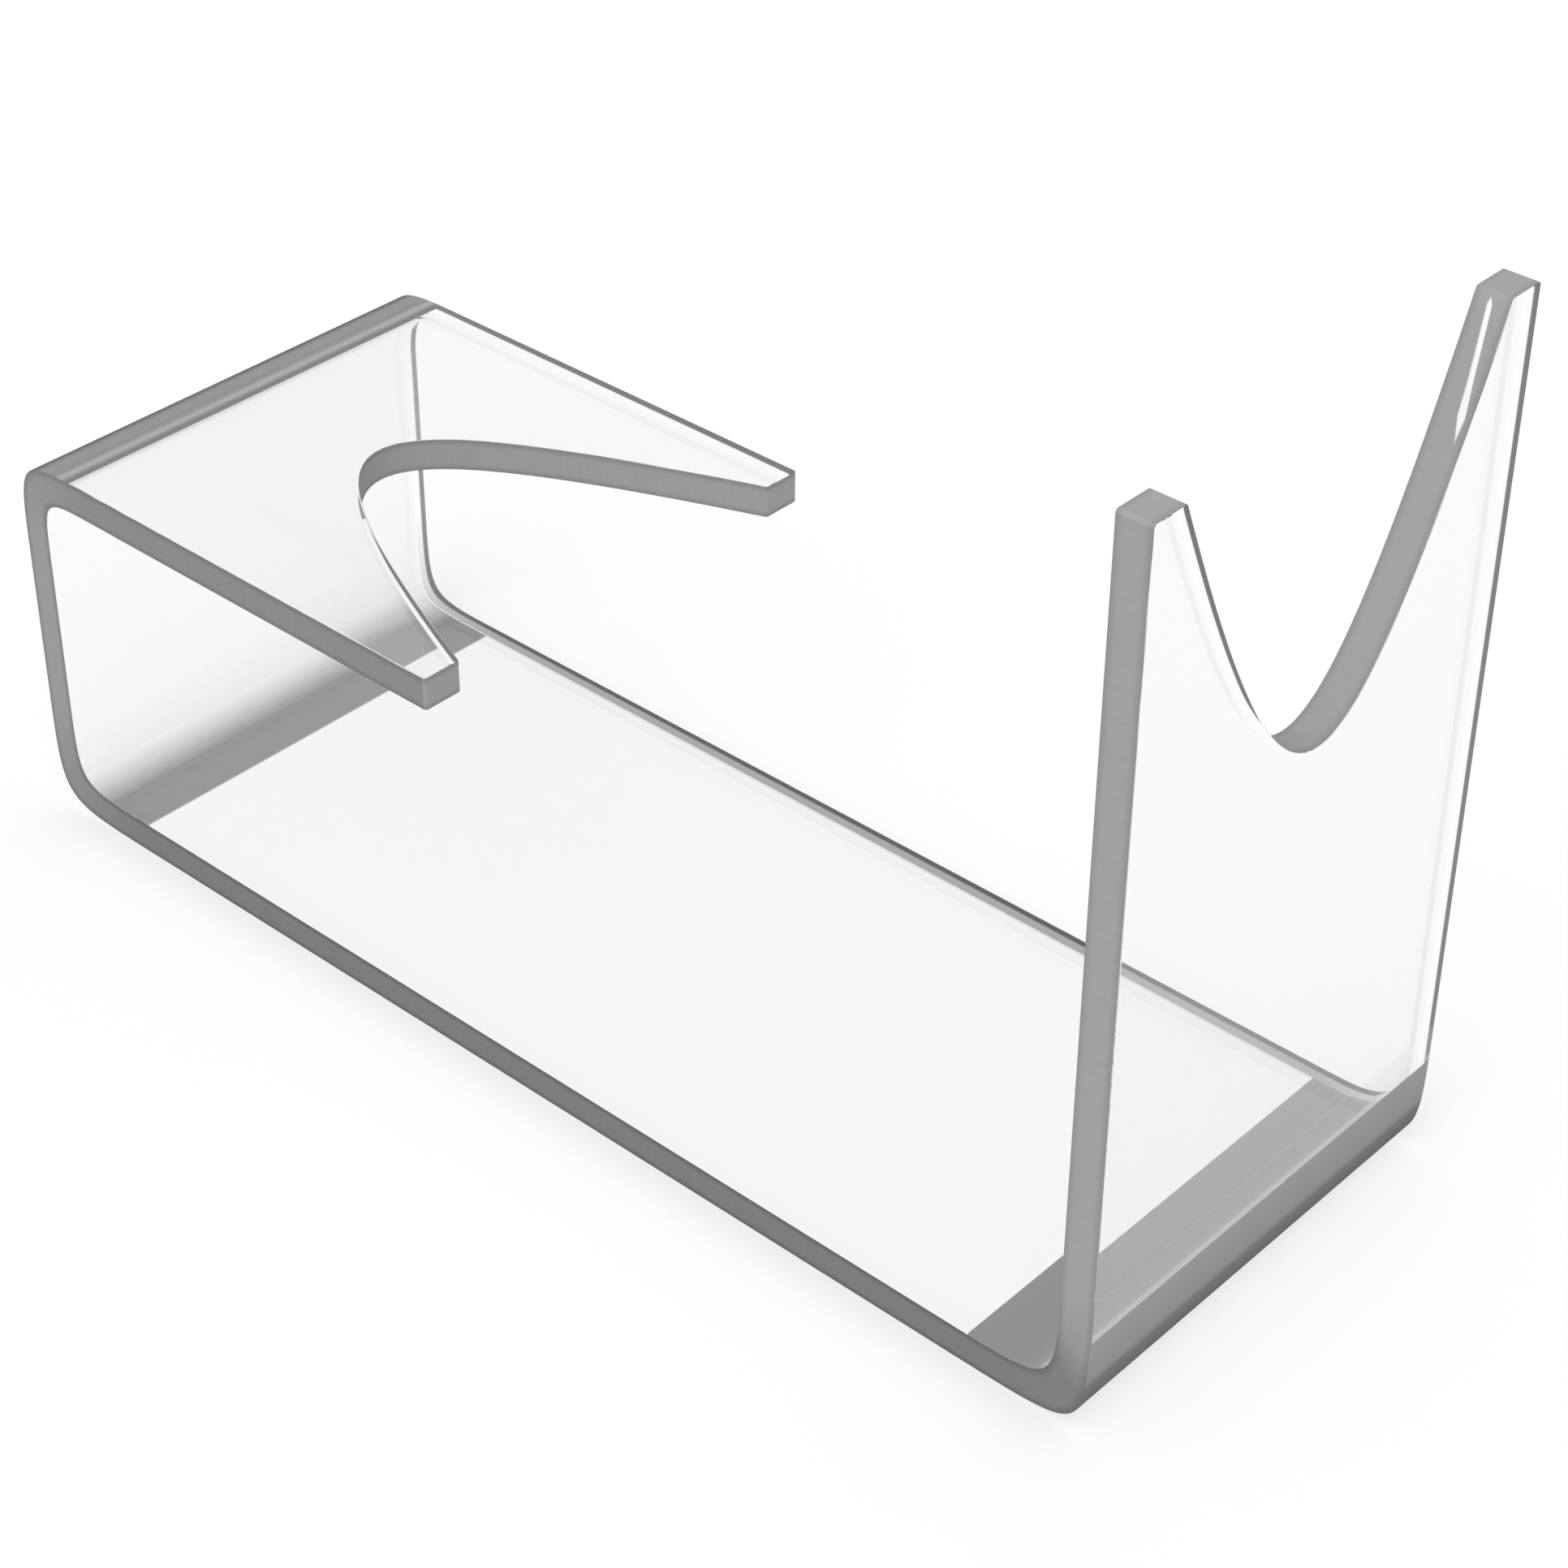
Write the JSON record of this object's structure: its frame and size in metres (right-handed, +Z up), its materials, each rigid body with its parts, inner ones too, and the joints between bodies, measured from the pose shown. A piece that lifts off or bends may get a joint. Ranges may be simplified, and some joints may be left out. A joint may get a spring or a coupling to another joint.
{
  "type": "display cradle",
  "caption": "Free-standing tabletop cradle of bent clear acrylic sheet: a notched tall end and a notched level shelf over a long base hold an item on a slant.",
  "frame": {"origin": "on the ground under the middle of the object's box, on the underside of the base", "axes": "+X along the length towards the tall end, +Y across the width, +Z up"},
  "size_m": [0.238, 0.087, 0.157],
  "materials": {
    "clear_acrylic": "clear cast acrylic sheet, gloss faces, polished cut edges that read grey"
  },
  "bodies": {
    "root": {"base_panel": "clear_acrylic", "base_to_tall_bend": "clear_acrylic", "tall_upright": "clear_acrylic", "base_to_short_bend": "clear_acrylic", "short_upright": "clear_acrylic", "shelf_bend": "clear_acrylic", "shelf": "clear_acrylic"}
  },
  "joints": []
}
